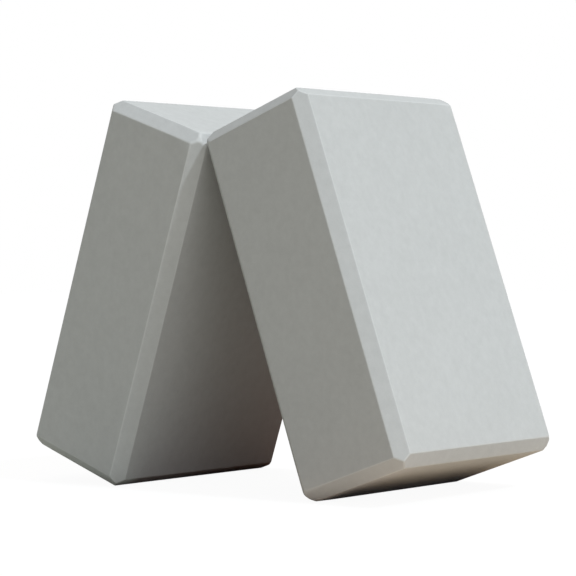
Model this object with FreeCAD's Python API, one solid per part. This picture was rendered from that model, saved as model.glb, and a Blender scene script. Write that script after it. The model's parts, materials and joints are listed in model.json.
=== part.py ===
import FreeCAD, Part
import math
import os

from FreeCAD import Placement, Rotation, Vector

# A pair of foam yoga blocks that lean on each other like a tent, each one solid bevelled piece.
# The frame has +Z up and z = 0 on the floor. +Y runs along the ridge where the two blocks touch,
# and +X points outwards from the right block's broad face. The origin lies midway between the feet.

# Driving dimensions of one block, in millimetres
block_length = 228.6
block_width = 152.4
block_thickness = 82.5
edge_bevel = 6.8
arris_radius = 1.5

# How the pair stands: the lean of each block from upright, in degrees, and the places in millimetres
lean_angle = 19.3
ridge_offset = 1.5
ridge_clearance = 0.3

# A round between the flat of a face and a 45 degree bevel, seen in section
bevel_turn = math.radians(45)
arris_tangent = arris_radius * math.tan(bevel_turn / 2)


def bevelled_along(box, way):
    """A copy of the box with a flat 45 degree bevel on its four edges that run along one direction."""
    edges = [edge for edge in box.Edges if abs(edge.tangentAt(edge.FirstParameter).dot(way)) > 0.5]
    return box.makeChamfer(edge_bevel, edges)


def bevelled_block():
    """One block, centred on the origin: thickness along X, width along Y, length along Z.

    All twelve edges are bevelled. The block is what the bevelled boxes of the three directions have in
    common, so that at each corner three bevels meet in one point. Then every arris is rounded.
    """
    corner = Vector(-block_thickness / 2, -block_width / 2, -block_length / 2)
    box = Part.makeBox(block_thickness, block_width, block_length, corner)
    block = bevelled_along(box, Vector(1, 0, 0))
    block = block.common(bevelled_along(box, Vector(0, 1, 0)))
    block = block.common(bevelled_along(box, Vector(0, 0, 1)))
    block = block.Solids[0].removeSplitter()
    return block.makeFillet(arris_radius, block.Edges)


def foot_axis():
    """The axis of the rounded arris that the block stands on: the inner edge of its lower end face."""
    across = -block_thickness / 2 + edge_bevel + arris_tangent
    along = -block_length / 2 + arris_radius
    return Vector(across, 0, along)


def ridge_axis():
    """The axis of the rounded arris that touches the other block: the upper edge of the inner face."""
    across = -block_thickness / 2 + arris_radius
    along = block_length / 2 - edge_bevel - arris_tangent
    return Vector(across, 0, along)


def leaning_block():
    """The right block in its place: tipped inwards on its foot until its ridge meets the middle plane."""
    lean = Rotation(Vector(0, 1, 0), -lean_angle)
    foot = lean.multVec(foot_axis())
    ridge = lean.multVec(ridge_axis())
    move_across = ridge_clearance / 2 + arris_radius - ridge.x
    move_up = arris_radius - foot.z
    block = bevelled_block()
    block.Placement = Placement(Vector(move_across, ridge_offset / 2, move_up), lean)
    return block


def half_turn(block):
    """A copy of the block turned half round about the upright axis, where its partner stands."""
    turned = block.copy()
    turned.rotate(Vector(0, 0, 0), Vector(0, 0, 1), 180)
    return turned


right_block = leaning_block()
left_block = half_turn(right_block)

os.makedirs("parts", exist_ok=True)
right_block.exportStep("parts/right_block.step")
left_block.exportStep("parts/left_block.step")

for name, block in (("left_block", left_block), ("right_block", right_block)):
    box = block.BoundBox
    print(f"{name}: volume {block.Volume / 1e6:.4f} litres, valid {block.isValid()}, solids {len(block.Solids)}, "
          f"x {box.XMin:.2f} to {box.XMax:.2f}, y {box.YMin:.2f} to {box.YMax:.2f}, "
          f"z {box.ZMin:.3f} to {box.ZMax:.2f}")
pivot = right_block.Placement.multVec(foot_axis())
print(f"right foot axis at x {pivot.x:.4f}, z {pivot.z:.4f}")
print(f"gap at the ridge {left_block.distToShape(right_block)[0]:.3f}")
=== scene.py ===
"""Studio scene of two bevelled foam yoga blocks that lean on each other like a tent.

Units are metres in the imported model's frame: +Z up, z = 0 on the floor, +Y along the ridge where
the blocks touch and +X outwards from the right block's broad face. Each block is one closed numpy
surface that rides on its own body, so the right block still rocks on its foot.
"""
import json
import logging
import math
from dataclasses import dataclass
from enum import Enum

import bpy
import numpy as np
from mathutils import Matrix, Vector


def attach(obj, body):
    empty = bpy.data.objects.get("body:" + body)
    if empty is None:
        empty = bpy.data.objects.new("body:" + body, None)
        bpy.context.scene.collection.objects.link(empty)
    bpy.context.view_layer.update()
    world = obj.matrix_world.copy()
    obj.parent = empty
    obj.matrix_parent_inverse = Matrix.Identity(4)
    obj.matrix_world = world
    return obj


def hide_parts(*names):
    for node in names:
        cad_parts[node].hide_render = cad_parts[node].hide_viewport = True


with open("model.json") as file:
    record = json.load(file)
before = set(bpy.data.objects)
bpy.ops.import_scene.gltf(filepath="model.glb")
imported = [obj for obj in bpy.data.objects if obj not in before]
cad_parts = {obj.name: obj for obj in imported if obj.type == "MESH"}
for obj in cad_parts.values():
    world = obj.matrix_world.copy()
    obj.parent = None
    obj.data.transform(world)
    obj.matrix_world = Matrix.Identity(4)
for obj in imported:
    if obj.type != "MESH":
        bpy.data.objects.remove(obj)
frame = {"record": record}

LOG = logging.getLogger("yoga_blocks")
TILT_JOINT = "right_block_tilt"
ARRIS_ATTRIBUTE = "arris"
BEVEL_TURN = math.radians(45)
NOISE_MIDDLE = 0.5

Node = bpy.types.Node
Socket = bpy.types.NodeSocket
Tone = tuple[float, float, float]

WHITE: Tone = (1.0, 1.0, 1.0)


class Side(Enum):
    """Which of the two blocks: its value names the body and the node that it stands for."""

    LEFT = "left_block"
    RIGHT = "right_block"

    @property
    def turn(self) -> float:
        """The factor on x and y: the left block is the right one turned half round."""
        return -1.0 if self is Side.LEFT else 1.0


@dataclass(frozen=True)
class BlockSize:
    """Sizes of one foam block, in metres."""

    thickness: float = 0.0825
    width: float = 0.1524
    length: float = 0.2286
    bevel: float = 0.0068
    arris_radius: float = 0.0015

    @property
    def half(self) -> np.ndarray:
        """Half of the block's thickness, width and length, in that order."""
        return np.array([self.thickness, self.width, self.length]) / 2

    @property
    def arris_tangent(self) -> float:
        """How far an arris's round reaches along the flats beside it."""
        return self.arris_radius * math.tan(BEVEL_TURN / 2)


@dataclass(frozen=True)
class Wear:
    """A corner that use has blunted, by the signs of its place about the block's middle.

    There the point where the bevels meet is cut off to a depth, and the arrises have a larger radius.
    The wear is full within the first reach of the corner and ends at the second. Lengths are in metres.
    """

    corner: tuple[float, float, float]
    depth: float = 0.0012
    radius: float = 0.0025
    full_reach: float = 0.010
    end_reach: float = 0.022


OUTER_FOOT_WEAR = Wear((1.0, 1.0, -1.0))
INNER_FOOT_WEAR = Wear((-1.0, -1.0, -1.0), depth=0.0014, radius=0.0042, end_reach=0.026)
OUTER_TOP_WEAR = Wear((1.0, 1.0, 1.0), depth=0.0014, radius=0.003)
RIDGE_WEAR = Wear((-1.0, 1.0, 1.0), depth=0.0010, radius=0.003)
WEAR = {
    Side.LEFT: (OUTER_FOOT_WEAR, RIDGE_WEAR),
    Side.RIGHT: (OUTER_FOOT_WEAR, INNER_FOOT_WEAR, OUTER_TOP_WEAR),
}


@dataclass(frozen=True)
class Stance:
    """How the right block stands: its lean, its foot's axis and its shift along the ridge."""

    lean: float
    foot_across: float
    foot_up: float
    shift: float

    @classmethod
    def from_frame(cls) -> "Stance":
        """Reads the lean and the foot's axis from the joint that tilts the right block.

        Returns:
            The stance, with the lean in radians and the places in metres.
        """
        joints = {joint["name"]: joint for joint in frame["record"]["behaviour"]["joints"]}
        tilt = joints[TILT_JOINT]
        across, shift, up = tilt["pos_m"]
        return cls(math.radians(tilt["range_deg"][1]), across, up, shift)


@dataclass(frozen=True)
class GridPlan:
    """How a block's grid is made: counts of lines, and line spacings in metres.

    Points that agree to join_digits decimals are one point. sweeps is how often all the flats are gone
    through when the grid is brought in to the rounded block.
    """

    bevel_lines: int = 13
    arris_lines: int = 9
    holding_step: float = 0.0004
    flat_step: float = 0.006
    join_digits: int = 9
    sweeps: int = 160


@dataclass(frozen=True)
class Relief:
    """The foam's own unevenness: a few waves on the flats, which fade out towards the arrises.

    The amplitude, the wave length and the width of the fade are in metres.
    """

    amplitude: float = 0.00006
    wave_length: float = 0.07
    fade: float = 0.02
    waves: int = 7
    seed: int = 5


def eased(share: np.ndarray) -> np.ndarray:
    """Holds a share between 0 and 1 and eases both ends: three times its square less twice its cube."""
    held = np.clip(share, 0, 1)
    return held * held * (3 - 2 * held)


def grid_faces(rows: int, columns: int) -> np.ndarray:
    """The four-sided faces of a grid whose points are numbered row by row.

    Args:
        rows: how many rows of points there are.
        columns: how many points each row has.

    Returns:
        One row of four point numbers for each face, in order round it.
    """
    number = np.arange(rows * columns).reshape(rows, columns)
    corners = [number[:-1, :-1], number[1:, :-1], number[1:, 1:], number[:-1, 1:]]
    return np.stack(corners, axis=-1).reshape(-1, 4)


def heading(azimuth: float, elevation: float) -> Vector:
    """The direction at an azimuth from +X towards +Y and an elevation, both in degrees."""
    turn, rise = math.radians(azimuth), math.radians(elevation)
    return Vector((math.cos(turn) * math.cos(rise), math.sin(turn) * math.cos(rise), math.sin(rise)))


class NodeChain:
    """Shorthand for building one material's or the world's shader nodes.

    The mix node has sockets of the same name for numbers, vectors and tones, so those for tones go by
    their numbers.
    """

    MIX_SHARE = 0
    MIX_FIRST = 6
    MIX_SECOND = 7
    MIX_RESULT = 2

    def __init__(self, tree: bpy.types.NodeTree) -> None:
        """Clears the tree and keeps it.

        Args:
            tree: the node tree to fill.
        """
        self.tree = tree
        tree.nodes.clear()

    def add(self, kind: str, **settings: object) -> Node:
        """Adds a node and sets its properties and input values.

        Args:
            kind: the node's type name.
            settings: properties by name, or inputs by their name with spaces as underscores.

        Returns:
            The new node.
        """
        node = self.tree.nodes.new(kind)
        for key, value in settings.items():
            if hasattr(node, key):
                setattr(node, key, value)
            else:
                self.put(value, node.inputs[key.replace("_", " ")])
        return node

    def put(self, value: object, socket: Socket) -> None:
        """Links an output into a socket, or sets the socket's own value.

        Args:
            value: an output, a number, a direction, or a tone as red, green and blue.
            socket: the input that it goes into.
        """
        if isinstance(value, Socket):
            self.tree.links.new(value, socket)
        elif socket.type == "RGBA":
            socket.default_value = (*value, 1.0)
        else:
            socket.default_value = value

    def math(self, operation: str, first: object, second: object) -> Socket:
        """Works out one operation on two numbers or outputs.

        Args:
            operation: the math node's name for it.
            first: the first number or output.
            second: the second one.

        Returns:
            The result.
        """
        node = self.add("ShaderNodeMath", operation=operation)
        self.put(first, node.inputs[0])
        self.put(second, node.inputs[1])
        return node.outputs[0]

    def spread(
        self, value: Socket, low: float, high: float, to_low: float = 0.0, to_high: float = 1.0
    ) -> Socket:
        """Maps a value evenly from one range to another, and holds it within the second.

        Args:
            value: the value to map.
            low: where the first range starts.
            high: where it ends.
            to_low: where the second range starts.
            to_high: where it ends.

        Returns:
            The mapped value.
        """
        node = self.add("ShaderNodeMapRange", clamp=True)
        for socket, number in zip(node.inputs[1:5], (low, high, to_low, to_high)):
            socket.default_value = number
        self.put(value, node.inputs[0])
        return node.outputs[0]

    def blend(self, share: Socket, first: object, second: object) -> Socket:
        """Mixes two tones.

        Args:
            share: the second tone's share, from 0 to 1.
            first: the first tone, or an output that gives it.
            second: the second one.

        Returns:
            The mixed tone.
        """
        node = self.add("ShaderNodeMix", data_type="RGBA")
        self.put(share, node.inputs[self.MIX_SHARE])
        self.put(first, node.inputs[self.MIX_FIRST])
        self.put(second, node.inputs[self.MIX_SECOND])
        return node.outputs[self.MIX_RESULT]

    def sum_of(self, first: Node, second: Node) -> Node:
        """Adds up two shaders.

        Args:
            first: the first shader.
            second: the second one.

        Returns:
            The shader that is both.
        """
        both = self.add("ShaderNodeAddShader")
        self.put(first.outputs[0], both.inputs[0])
        self.put(second.outputs[0], both.inputs[1])
        return both

    def choice(self, lit: Node, shown: Node) -> Socket:
        """Gives the rays that light things one shader, and those that show the background another.

        The second kind are the camera, glossy and transmission rays.

        Args:
            lit: the shader for the rays that light things.
            shown: the shader for the rays that show the background.

        Returns:
            The chosen shader's output.
        """
        path = self.add("ShaderNodeLightPath")
        mirror = self.math("MAXIMUM", path.outputs["Is Glossy Ray"], path.outputs["Is Transmission Ray"])
        mix = self.add("ShaderNodeMixShader")
        self.put(self.math("MAXIMUM", path.outputs["Is Camera Ray"], mirror), mix.inputs[0])
        self.put(lit.outputs[0], mix.inputs[1])
        self.put(shown.outputs[0], mix.inputs[2])
        return mix.outputs[0]


@dataclass(frozen=True)
class NoiseLayer:
    """One layer of noise in the foam: the size of its features in metres, its detail and its roughness.

    From span below the noise's middle to span above it, the layer takes on its share of the deep tone.
    """

    size: float
    detail: float = 2.0
    roughness: float = 0.5
    span: float = 0.15
    share: float = 0.0

    def value(self, chain: NodeChain, place: Socket) -> Socket:
        """The noise at a place, from 0 to 1."""
        settings = {"Scale": 1 / self.size, "Detail": self.detail, "Roughness": self.roughness}
        return chain.add("ShaderNodeTexNoise", Vector=place, **settings).outputs["Fac"]

    def shade(self, chain: NodeChain, value: Socket) -> Socket:
        """How much of the deep tone the layer adds where its noise has that value."""
        return chain.spread(value, NOISE_MIDDLE - self.span, NOISE_MIDDLE + self.span, 0.0, self.share)


@dataclass(frozen=True)
class FoamFinish:
    """Matte light grey closed-cell foam without gloss: its tones, its layers of noise and its open cells.

    arris_share says how far the arrises take on their paler tone, which is partly wear and partly a painted
    highlight, and the pore share says how far the pits take on their darker tone, which is painted shade in
    the open cells. cell is the cells' spacing in metres. pit_floor and pit_rim are the distances from a
    cell's middle, in cells, between which its pit rises. The roughness follows the mottling between its two
    limits.
    """

    tone: Tone = (0.568, 0.577, 0.576)
    deep_tone: Tone = (0.515, 0.523, 0.522)
    # the arrises' paler tone: partly wear, partly a painted highlight along each arris
    worn_and_highlit_arris_tone: Tone = (0.67, 0.68, 0.68)
    arris_share: float = 0.6
    # the pits' darker tone: painted shade in the open cells
    pore_shade_tone: Tone = (0.434, 0.444, 0.444)
    pore_shade_share: float = 0.35
    cloud: NoiseLayer = NoiseLayer(0.06, share=0.14)
    mottle: NoiseLayer = NoiseLayer(0.009, detail=3.0, share=0.2)
    fleck: NoiseLayer = NoiseLayer(0.005, detail=3.0, roughness=0.7, span=0.2, share=0.66)
    grain: NoiseLayer = NoiseLayer(0.0016)
    cell: float = 0.0007
    pit_floor: float = 0.05
    pit_rim: float = 0.30
    grain_height: float = 0.8
    bump_depth: float = 0.00007
    bump_strength: float = 0.5
    least_roughness: float = 0.80
    most_roughness: float = 0.90
    roughness_span: float = 0.2
    specular: float = 0.0

    def material(self, name: str) -> bpy.types.Material:
        """Builds the foam's material from noise and cells on object coordinates.

        Args:
            name: the material's name.

        Returns:
            The material.
        """
        made = bpy.data.materials.new(name)
        made.use_nodes = True
        chain = NodeChain(made.node_tree)
        place = chain.add("ShaderNodeTexCoord").outputs["Object"]
        mottle = self.mottle.value(chain, place)
        pit = self.pits(chain, place)
        shader = chain.add("ShaderNodeBsdfPrincipled", Specular_IOR_Level=self.specular)
        chain.put(self.tint(chain, place, mottle, pit), shader.inputs["Base Color"])
        chain.put(self.rough(chain, mottle), shader.inputs["Roughness"])
        chain.put(self.bump(chain, place, pit), shader.inputs["Normal"])
        output = chain.add("ShaderNodeOutputMaterial")
        chain.put(shader.outputs["BSDF"], output.inputs["Surface"])
        return made

    def pits(self, chain: NodeChain, place: Socket) -> Socket:
        """The open cells: 1 on the floor of a pit, and falling evenly to 0 at its rim."""
        cells = chain.add("ShaderNodeTexVoronoi", Vector=place, Scale=1 / self.cell)
        return chain.spread(cells.outputs["Distance"], self.pit_floor, self.pit_rim, 1.0, 0.0)

    def tint(self, chain: NodeChain, place: Socket, mottle: Socket, pit: Socket) -> Socket:
        """The foam's tone: clouds, mottling and flecks vary it; paler arrises are wear and painted highlight,
        darker pits painted shade.

        Args:
            chain: the foam's nodes.
            place: the object coordinates.
            mottle: the mottling's noise.
            pit: how deep in a pit the place lies.

        Returns:
            The tone.
        """
        cloudy = self.cloud.shade(chain, self.cloud.value(chain, place))
        mottled = self.mottle.shade(chain, mottle)
        flecked = self.fleck.shade(chain, self.fleck.value(chain, place))
        shade = chain.math("ADD", chain.math("ADD", cloudy, mottled), flecked)
        body = chain.blend(shade, self.tone, self.deep_tone)
        arris = chain.add("ShaderNodeAttribute", attribute_name=ARRIS_ATTRIBUTE).outputs["Fac"]
        # paler arrises: partly wear, partly a painted highlight along each arris
        worn = chain.blend(chain.math("MULTIPLY", arris, self.arris_share), body, self.worn_and_highlit_arris_tone)
        # darker pits: painted shade in the open cells
        return chain.blend(chain.math("MULTIPLY", pit, self.pore_shade_share), worn, self.pore_shade_tone)

    def rough(self, chain: NodeChain, mottle: Socket) -> Socket:
        """The foam's roughness, which follows the mottling."""
        low, high = NOISE_MIDDLE - self.roughness_span, NOISE_MIDDLE + self.roughness_span
        return chain.spread(mottle, low, high, self.least_roughness, self.most_roughness)

    def bump(self, chain: NodeChain, place: Socket, pit: Socket) -> Socket:
        """The fine relief: the grain stands up and the pits go down.

        Args:
            chain: the foam's nodes.
            place: the object coordinates.
            pit: how deep in a pit the place lies.

        Returns:
            The bumped normal.
        """
        grain = chain.math("MULTIPLY", self.grain.value(chain, place), self.grain_height)
        node = chain.add("ShaderNodeBump", Strength=self.bump_strength, Distance=self.bump_depth)
        chain.put(chain.math("SUBTRACT", grain, pit), node.inputs["Height"])
        return node.outputs["Normal"]


@dataclass
class FoamBlock:
    """One foam block: a box with all edges bevelled, mitred corners and every arris rounded."""

    side: Side
    size: BlockSize
    stance: Stance
    plan: GridPlan
    relief: Relief
    wear: tuple[Wear, ...]

    def lines(self, half: float) -> np.ndarray:
        """Places of the grid lines across one direction of the block.

        The lines crowd where the round arris lies, run evenly over the bevel's half and then over the
        flat. The arris's round takes up its tangent on the flat, and that over cos 45 on the bevel's
        side, because lines come down onto the bevel at 45 degrees.

        Args:
            half: half of the block's size in that direction.

        Returns:
            The places from -half to half, in order.
        """
        tangent = self.size.arris_tangent
        bevel_end = self.size.bevel - tangent / math.cos(BEVEL_TURN)
        flat_start = self.size.bevel + tangent
        bevel = np.linspace(0, bevel_end, self.plan.bevel_lines)
        arris = np.linspace(bevel_end, flat_start, self.plan.arris_lines)
        band = np.concatenate([bevel[:-1], arris, [flat_start + self.plan.holding_step]])
        inner = half - band[-1]
        steps = max(2, round(2 * inner / self.plan.flat_step))
        flat = np.linspace(-inner, inner, steps + 1)[1:-1]
        return np.concatenate([band - half, flat, half - band[::-1]])

    def box_grid(self) -> tuple[np.ndarray, np.ndarray]:
        """The sharp box that the block is cut from, as one closed grid of its six faces.

        Each face is a grid of two of the three directions' lines, and points that faces share are
        joined, so the grid is closed along every edge.

        Returns:
            The points as rows of x, y, z, and the four-sided faces as rows of point numbers.
        """
        half = self.size.half
        lines = [self.lines(reach) for reach in half]
        points, quads, count = [], [], 0
        for axis in range(3):
            first, second = (axis + 1) % 3, (axis + 2) % 3
            across, along = np.meshgrid(lines[first], lines[second], indexing="ij")
            for sign in (1, -1):
                grid = np.empty((across.size, 3))
                grid[:, axis] = sign * half[axis]
                grid[:, first] = across.ravel()
                grid[:, second] = along.ravel()
                points.append(grid)
                quads.append(grid_faces(*across.shape)[:, ::sign] + count)
                count += across.size
        every = np.round(np.concatenate(points), self.plan.join_digits)
        unique, owner = np.unique(every, axis=0, return_inverse=True)
        return unique, owner.reshape(-1)[np.concatenate(quads)]

    def planes(self, cut: float = 0.0) -> tuple[np.ndarray, np.ndarray]:
        """The flats of one eighth of the block: three faces, three bevels and a flat that cuts the corner.

        On a bevel two of the coordinates add up to their halves less the bevel. In the point where the
        three bevels meet, all three coordinates add up to their halves less one and a half bevels.

        Args:
            cut: how deep the corner is cut off, from the point where the bevels meet.

        Returns:
            The flats' outward normals as rows, with the corner's last, and each flat's distance from the
            block's middle.
        """
        half, bevel = self.size.half, self.size.bevel
        bevel_normals = (1 - np.eye(3)) / math.sqrt(2)
        corner_normal = np.ones((1, 3)) / math.sqrt(3)
        bevel_reach = (half.sum() - half - bevel) / math.sqrt(2)
        corner_reach = (half.sum() - 3 * bevel / 2) / math.sqrt(3) - cut
        normals = np.concatenate([np.eye(3), bevel_normals, corner_normal])
        return normals, np.concatenate([half, bevel_reach, [corner_reach]])

    def rounded(self, points: np.ndarray, radius: float, cut: float = 0.0) -> tuple[np.ndarray, np.ndarray]:
        """Brings points on the sharp box in to the rounded block.

        The block is a smaller body with flat sides, the core, grown by the radius all round. Each point
        goes to the core's nearest point and then out again by that radius. To find the nearest point,
        each flat in turn pushes the point in, after giving back what it took off the last time.

        Args:
            points: points on the sharp box, as rows.
            radius: the radius of every arris.
            cut: how deep the corners are cut off.

        Returns:
            The points on the block, and the outward normals there.
        """
        normals, reach = self.planes(cut)
        core = reach - radius
        sign = np.where(points < 0, -1.0, 1.0)
        outer = np.abs(points)
        near = outer.copy()
        carried = np.zeros((len(core), *outer.shape))
        for _ in range(self.plan.sweeps):
            for number, normal in enumerate(normals):
                moved = near + carried[number]
                over = np.maximum(moved @ normal - core[number], 0.0)
                near = moved - over[:, None] * normal
                carried[number] = moved - near
        out = outer - near
        out /= np.linalg.norm(out, axis=1, keepdims=True)
        return sign * (near + radius * out), sign * out

    def worn(self, points: np.ndarray) -> tuple[np.ndarray, np.ndarray]:
        """Brings points on the sharp box in to the block, with its worn corners.

        Near a worn corner the block gives way to a blunter one, by a share that eases off with distance.

        Args:
            points: points on the sharp box, as rows.

        Returns:
            The points on the block, and the outward normals there.
        """
        surface, normals = self.rounded(points, self.size.arris_radius)
        for mark in self.wear:
            away = np.linalg.norm(points - np.array(mark.corner) * self.size.half, axis=1)
            near = away < mark.end_reach
            blunt, blunt_normals = self.rounded(points[near], mark.radius, mark.depth)
            share = eased((mark.end_reach - away[near]) / (mark.end_reach - mark.full_reach))[:, None]
            surface[near] += share * (blunt - surface[near])
            normals[near] += share * (blunt_normals - normals[near])
        return surface, normals / np.linalg.norm(normals, axis=1, keepdims=True)

    def waves(self, points: np.ndarray, normals: np.ndarray) -> np.ndarray:
        """Lifts the flats by a few long sine waves that fade out before the arrises.

        Each wave has a direction and a phase drawn at random. The fade goes by the distance from the
        nearest edge, which is the second smallest of the distances from the faces.

        Args:
            points: points on the block.
            normals: the outward normals there.

        Returns:
            The points, moved along their normals.
        """
        draw = np.random.default_rng(self.relief.seed + list(Side).index(self.side))
        ways = draw.normal(size=(self.relief.waves, 3))
        phase = draw.uniform(0, 2 * math.pi, self.relief.waves)
        turns = points @ ways.T * (2 * math.pi / self.relief.wave_length) / math.sqrt(3)
        lift = np.sin(turns + phase).sum(axis=1) / math.sqrt(self.relief.waves)
        inset = np.sort(self.size.half - np.abs(points), axis=1)[:, 1]
        fade = eased((inset - self.size.bevel - self.size.arris_tangent) / self.relief.fade)
        return points + (self.relief.amplitude * lift * fade)[:, None] * normals

    def placed(self, points: np.ndarray) -> np.ndarray:
        """Leans the block on its foot, stands it in the frame and turns the left one half round.

        Args:
            points: points of the block about its own middle.

        Returns:
            The points in the model's frame.
        """
        lean = np.array(Matrix.Rotation(-self.stance.lean, 3, "Y"))
        half, size = self.size.half, self.size
        foot = np.array([size.bevel + size.arris_tangent - half[0], 0, size.arris_radius - half[2]])
        stand = np.array([self.stance.foot_across, self.stance.shift, self.stance.foot_up])
        turn = np.array([self.side.turn, self.side.turn, 1.0])
        return ((points - foot) @ lean.T + stand) * turn

    def arris_share(self, normals: np.ndarray) -> np.ndarray:
        """How far each point lies on a round: its normal's angle from the nearest face's or bevel's.

        Args:
            normals: the outward normals of the points.

        Returns:
            0 for a point on a flat, up to 1 for one half way round an arris.
        """
        flats, _ = self.planes()
        nearest = np.clip((np.abs(normals) @ flats[:-1].T).max(axis=1), -1, 1)
        return np.clip(np.arccos(nearest) / (BEVEL_TURN / 2), 0, 1)

    def build(self, finish: bpy.types.Material) -> bpy.types.Object:
        """Makes the block's mesh, dresses it and lets it ride on its body.

        Args:
            finish: the foam's material.

        Returns:
            The block's object.
        """
        grid, quads = self.box_grid()
        surface, normals = self.worn(grid)
        points = self.placed(self.waves(surface, normals))
        name = f"{self.side.value}_foam"
        mesh = bpy.data.meshes.new(name)
        mesh.from_pydata(points, [], quads)
        mesh.shade_smooth()
        arris = mesh.attributes.new(ARRIS_ATTRIBUTE, "FLOAT", "POINT")
        arris.data.foreach_set("value", self.arris_share(normals).astype(np.float32))
        mesh.materials.append(finish)
        piece = bpy.data.objects.new(name, mesh)
        bpy.context.scene.collection.objects.link(piece)
        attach(piece, self.side.value)
        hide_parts(self.side.value)
        LOG.info("%s: %d points, %d faces", piece.name, len(points), len(quads))
        return piece


@dataclass(frozen=True)
class Glow:
    """A soft light of the room: where its middle lies, in degrees, its level there and its tone.

    The level falls off with the cosine of the angle from the middle, raised to the tightness.
    """

    azimuth: float
    elevation: float
    level: float
    tone: Tone = WHITE
    tightness: float = 4.0

    def on_floor(self, steps: int = 200) -> float:
        """What an open floor gets of it: the mean over directions that are spread by their cosine.

        Args:
            steps: how many directions are taken, each way.

        Returns:
            The level of a matt white floor under this light alone.
        """
        share = (np.arange(steps) + 0.5) / steps
        reach, turn = np.meshgrid(np.sqrt(share), 2 * math.pi * share, indexing="ij")
        ways = np.stack([reach * np.cos(turn), reach * np.sin(turn), np.sqrt(1 - reach**2)], axis=-1)
        facing = np.maximum(ways @ np.array(heading(self.azimuth, self.elevation)), 0.0)
        return self.level * float((facing**self.tightness).mean())

    def add(self, chain: NodeChain, way: Socket) -> Node:
        """Adds the light's background shader to the world's nodes.

        Args:
            chain: the world's nodes.
            way: the direction that is looked in.

        Returns:
            The shader.
        """
        facing = chain.add("ShaderNodeVectorMath", operation="DOT_PRODUCT")
        chain.put(way, facing.inputs[0])
        chain.put(heading(self.azimuth, self.elevation), facing.inputs[1])
        fall = chain.math("POWER", chain.math("MAXIMUM", facing.outputs["Value"], 0.0), self.tightness)
        strength = chain.math("MULTIPLY", fall, self.level)
        return chain.add("ShaderNodeBackground", Color=self.tone, Strength=strength)


@dataclass(frozen=True)
class Key:
    """The key light: a far lamp, with its direction and apparent width in degrees, its tone and level.

    The level is that of a matt white surface that faces the lamp.
    """

    azimuth: float = 2.0
    elevation: float = 50.0
    width: float = 3.5
    tone: Tone = (0.91, 1.0, 1.06)
    level: float = 0.57

    def on_floor(self) -> float:
        """The level of a matt white floor under this light alone."""
        return self.level * math.sin(math.radians(self.elevation))

    def build(self) -> bpy.types.Object:
        """Hangs the lamp. Its strength is pi times its level, because a matt surface spreads its light.

        Returns:
            The lamp's object.
        """
        lamp = bpy.data.lights.new("key_lamp", "SUN")
        lamp.angle = math.radians(self.width)
        lamp.color = self.tone
        lamp.energy = self.level * math.pi
        hung = bpy.data.objects.new("key_lamp", lamp)
        hung.rotation_euler = heading(self.azimuth, self.elevation).to_track_quat("Z", "Y").to_euler()
        bpy.context.scene.collection.objects.link(hung)
        return hung


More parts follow.
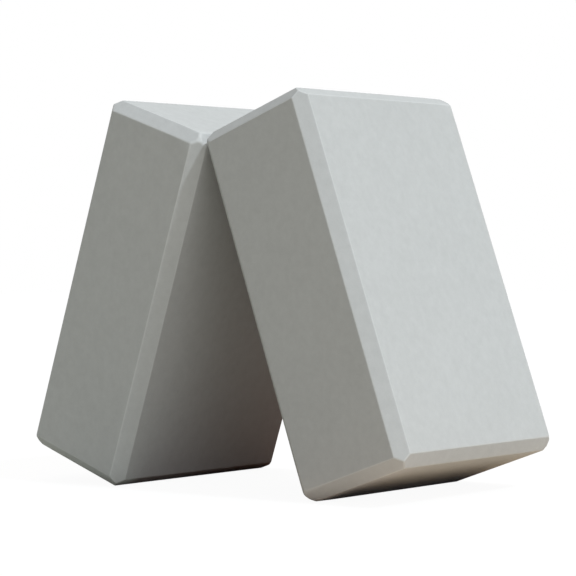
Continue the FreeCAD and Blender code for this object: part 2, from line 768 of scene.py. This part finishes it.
@dataclass(frozen=True)
class FloorBoard:
    """The floor: white with a faint shadow to the camera, and a warm matt board to every other ray.

    The board sends light back up to the foam, and its tones by place paint light and shade into that light.
    It is pale at the right, where the key light comes from, and warmest just before the right block. Its
    brightest patch, just in front of the right block at its right, is a painted pool of light. Under the
    blocks and behind them it is dark: painted shade, which darkens the tent and the right block's underside.
    The edges between its tones are places in metres: left_edge, right_edge and pale_edge across the ridge,
    near_edge and front_edge along it. An open floor shows at white_share, a little above white so that it
    is even, and loses shadow_share in full shadow.
    """

    side: float = 12.0
    drop: float = 0.0001
    lines: int = 3
    left_tone: Tone = (0.52, 0.52, 0.46)
    front_tone: Tone = (0.59, 0.55, 0.47)
    # brightest board, just in front of the right block: a painted pool of light
    near_painted_light_tone: Tone = (0.92, 0.72, 0.58)
    warm_tone: Tone = (0.71, 0.52, 0.345)
    pale_tone: Tone = (0.70, 0.68, 0.64)
    # dark board under and behind the blocks: painted shade
    painted_shade_tone: Tone = (0.15, 0.07, 0.05)
    left_edge: float = -0.02
    right_edge: float = 0.105
    pale_edge: float = 0.25
    near_edge: float = -0.12
    front_edge: float = -0.06
    shadow_share: float = 0.08
    white_share: float = 1.025

    def build(self, light: float) -> bpy.types.Object:
        """Lays the floor as one large flat sheet.

        Args:
            light: the level of a matt white floor under all the lights.

        Returns:
            The floor's object.
        """
        line = np.linspace(-self.side / 2, self.side / 2, self.lines)
        across, along = np.meshgrid(line, line, indexing="ij")
        points = np.stack([across.ravel(), along.ravel(), np.full(across.size, -self.drop)], axis=1)
        mesh = bpy.data.meshes.new("floor")
        mesh.from_pydata(points, [], grid_faces(self.lines, self.lines))
        mesh.materials.append(self.finish(light))
        sheet = bpy.data.objects.new("floor", mesh)
        bpy.context.scene.collection.objects.link(sheet)
        return sheet

    def finish(self, light: float) -> bpy.types.Material:
        """Builds the floor's material: the board, and the white that the camera sees.

        Args:
            light: the level of a matt white floor under all the lights.

        Returns:
            The material.
        """
        made = bpy.data.materials.new("floor_board")
        made.use_nodes = True
        chain = NodeChain(made.node_tree)
        board = chain.add("ShaderNodeBsdfDiffuse", Color=self.zones(chain))
        grey = self.shadow_share / light
        shadow = chain.add("ShaderNodeBsdfDiffuse", Color=(grey, grey, grey))
        rest = self.white_share - self.shadow_share
        white = chain.add("ShaderNodeEmission", Color=WHITE, Strength=rest)
        output = chain.add("ShaderNodeOutputMaterial")
        chain.put(chain.choice(board, chain.sum_of(shadow, white)), output.inputs["Surface"])
        return made

    def zones(self, chain: NodeChain) -> Socket:
        """The board's tone by place, across the ridge and along it: painted light at the right, painted shade
        under and behind the blocks.

        Args:
            chain: the floor material's nodes.

        Returns:
            The tone.
        """
        place = chain.add("ShaderNodeSeparateXYZ", Vector=chain.add("ShaderNodeTexCoord").outputs["Object"])
        across, along = place.outputs["X"], place.outputs["Y"]
        to_front = chain.spread(across, self.left_edge, self.right_edge)
        to_near = chain.spread(along, self.near_edge, self.front_edge)
        to_pale = chain.spread(across, self.right_edge, self.pale_edge)
        open_front = chain.blend(to_front, self.left_tone, self.front_tone)
        # brightest just in front of the right block: a painted pool of light
        before = chain.blend(chain.math("MULTIPLY", to_front, to_near), open_front, self.near_painted_light_tone)
        beside = chain.blend(to_pale, self.warm_tone, self.pale_tone)
        is_right = chain.math("GREATER_THAN", across, self.right_edge)
        # dark under and behind the blocks: painted shade for the tent and the right block's underside
        behind = chain.blend(is_right, self.painted_shade_tone, beside)
        return chain.blend(chain.math("GREATER_THAN", along, self.front_edge), before, behind)


@dataclass(frozen=True)
class Studio:
    """The floor, the room round it and the key light.

    The room shows white to the camera, and to the foam it is the sum of a few soft lights.
    """

    board: FloorBoard = FloorBoard()
    key: Key = Key()
    glows: tuple[Glow, ...] = (
        Glow(315.0, 50.0, 0.66),
        Glow(315.0, 12.0, 0.26),
        Glow(340.0, 5.0, 1.30, (0.95, 1.0, 1.05), tightness=16.0),
        Glow(75.0, 60.0, 1.70, (1.06, 1.0, 0.88), tightness=12.0),
        Glow(140.0, 50.0, 1.30, tightness=12.0),
        Glow(180.0, 30.0, 0.45),
    )

    @property
    def floor_light(self) -> float:
        """The level of a matt white floor under all the lights."""
        return self.key.on_floor() + sum(glow.on_floor() for glow in self.glows)

    def room(self) -> bpy.types.World:
        """Sets the world to the white room with its soft lights.

        Returns:
            The world.
        """
        world = bpy.data.worlds.new("white_room")
        world.use_nodes = True
        chain = NodeChain(world.node_tree)
        way = chain.add("ShaderNodeTexCoord").outputs["Generated"]
        lights, *others = [glow.add(chain, way) for glow in self.glows]
        for other in others:
            lights = chain.sum_of(lights, other)
        white = chain.add("ShaderNodeBackground", Color=WHITE, Strength=1.0)
        output = chain.add("ShaderNodeOutputWorld")
        chain.put(chain.choice(lights, white), output.inputs["Surface"])
        bpy.context.scene.world = world
        return world

    def build(self) -> None:
        """Lays the floor, sets the room and hangs the key light."""
        floor = self.board.build(self.floor_light)
        world = self.room()
        lamp = self.key.build()
        LOG.info("studio: %s, %s with %d soft lights, %s", floor.name, world.name, len(self.glows), lamp.name)


@dataclass(frozen=True)
class PhotoCamera:
    """The camera at the photograph's place: angles in degrees and places in metres.

    It looks along +Y, turned towards -X by the azimuth and dipped by the pitch. The focal length is in
    pixels of a square picture, and the sensor's width in millimetres.
    """

    azimuth: float = 40.25
    distance: float = 1.3544
    sideways: float = 0.0025
    height: float = 0.1400
    pitch: float = 0.781
    roll: float = 0.592
    focal_pixels: float = 2182.0
    picture_pixels: int = 576
    sensor_width: float = 36.0
    clip_start: float = 0.01
    clip_end: float = 50.0

    def build(self) -> bpy.types.Object:
        """Makes the camera and sets it as the scene's.

        Returns:
            The camera's object.
        """
        turn, dip, roll = map(math.radians, (self.azimuth, self.pitch, self.roll))
        level = Vector((-math.sin(turn), math.cos(turn), 0.0))
        right = Vector((math.cos(turn), math.sin(turn), 0.0))
        forward = level * math.cos(dip) - Vector((0.0, 0.0, math.sin(dip)))
        down = forward.cross(right)
        image_right = right * math.cos(roll) + down * math.sin(roll)
        image_down = down * math.cos(roll) - right * math.sin(roll)
        lens = bpy.data.cameras.new("photo_camera")
        lens.sensor_width = self.sensor_width
        lens.lens = self.sensor_width * self.focal_pixels / self.picture_pixels
        lens.clip_start = self.clip_start
        lens.clip_end = self.clip_end
        camera = bpy.data.objects.new("photo_camera", lens)
        axes = Matrix((image_right, -image_down, -forward)).transposed().to_4x4()
        place = right * self.sideways - level * self.distance + Vector((0.0, 0.0, self.height))
        camera.matrix_world = Matrix.Translation(place) @ axes
        bpy.context.scene.collection.objects.link(camera)
        bpy.context.scene.camera = camera
        return camera


def main() -> None:
    """Builds the blocks, the studio and the camera, and reports each piece."""
    logging.basicConfig(level=logging.INFO, format="%(name)s: %(message)s")
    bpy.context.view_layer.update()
    stance = Stance.from_frame()
    foam = FoamFinish().material("grey_foam")
    for side in Side:
        FoamBlock(side, BlockSize(), stance, GridPlan(), Relief(), WEAR[side]).build(foam)
    Studio().build()
    PhotoCamera().build()
    bpy.context.scene.view_settings.view_transform = "Standard"


if __name__ == "__main__":
    main()
